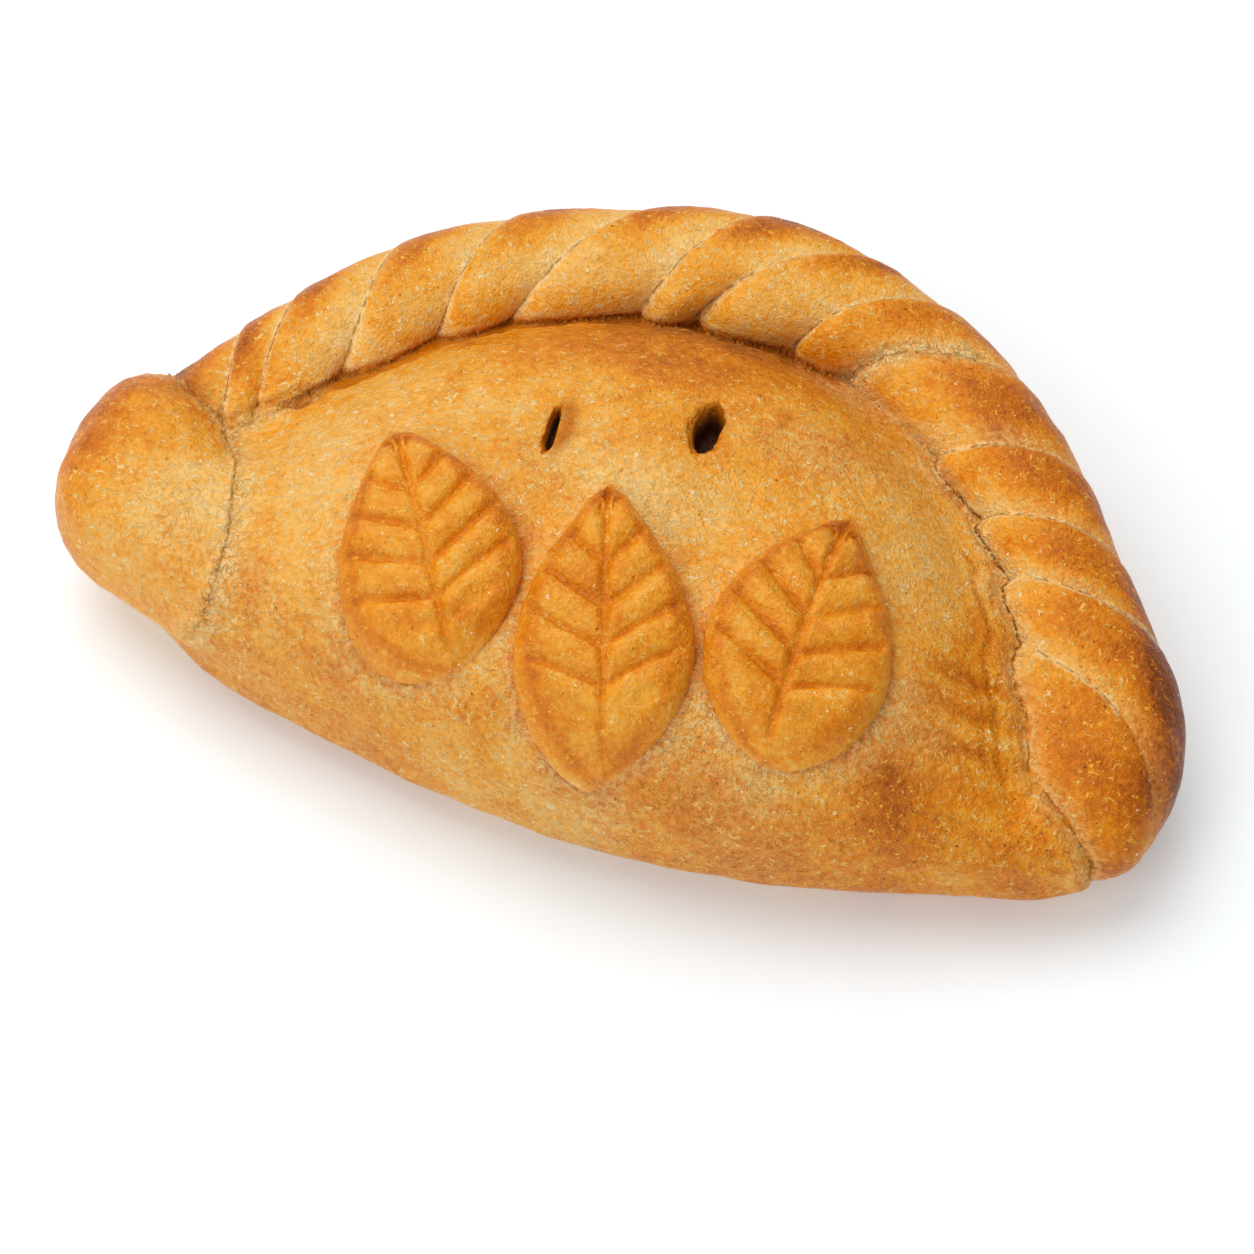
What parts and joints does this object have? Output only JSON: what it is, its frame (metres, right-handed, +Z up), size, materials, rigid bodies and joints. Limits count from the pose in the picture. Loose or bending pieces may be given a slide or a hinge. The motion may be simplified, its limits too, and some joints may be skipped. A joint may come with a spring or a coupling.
{
  "type": "cornish pasty",
  "caption": "Baked pasty with a filled dome, a rope crimp round the back and right edge, a folded end, steam vents and pastry leaves on the lid.",
  "frame": {"origin": "middle of the underside, on the surface that the pasty rests on", "axes": "+X along the pasty from its folded end to the tucked end of the crimp, +Y towards the crimp at the back, +Z up"},
  "size_m": [0.205, 0.125, 0.0521],
  "materials": {
    "crust": "golden baked shortcrust, satin, mottled, browner on the crimp",
    "leaf_pastry": "golden baked pastry with an egg wash, satin"
  },
  "bodies": {
    "root": {"pasty": "crust", "leaf_left": "leaf_pastry", "leaf_middle": "leaf_pastry", "leaf_right": "leaf_pastry"}
  },
  "joints": []
}
